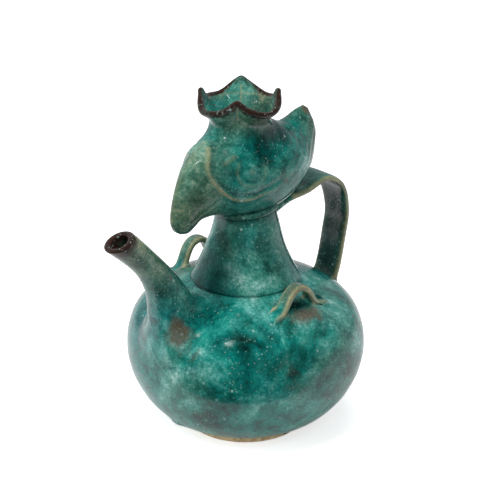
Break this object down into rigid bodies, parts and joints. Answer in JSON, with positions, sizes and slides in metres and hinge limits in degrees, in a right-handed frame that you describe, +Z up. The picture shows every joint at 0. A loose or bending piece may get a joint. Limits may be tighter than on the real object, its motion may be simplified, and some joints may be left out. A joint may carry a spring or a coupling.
{
  "type": "phoenix-head ewer",
  "caption": "Green-glazed pottery ewer with a round belly, cone neck, hollow bird's head, crown-shaped mouth, curved spout, strap handle and small lugs.",
  "frame": {"origin": "centre of the foot's flat underside", "axes": "+Z up, +X towards the spout, -X towards the handle"},
  "size_m": [0.1629, 0.1284, 0.1906],
  "materials": {
    "green_glaze": "glossy mottled turquoise-green lead glaze",
    "foot_clay": "unglazed buff clay, matt"
  },
  "bodies": {
    "root": {"foot_disc": "foot_clay", "body_lower": "green_glaze", "body_upper": "green_glaze", "neck": "green_glaze", "neck_collar": "green_glaze", "head_left_half": "green_glaze", "head_right_half": "green_glaze", "crown_mouth": "green_glaze", "spout": "green_glaze", "handle": "green_glaze", "lug_left": "green_glaze", "lug_right": "green_glaze"}
  },
  "joints": []
}
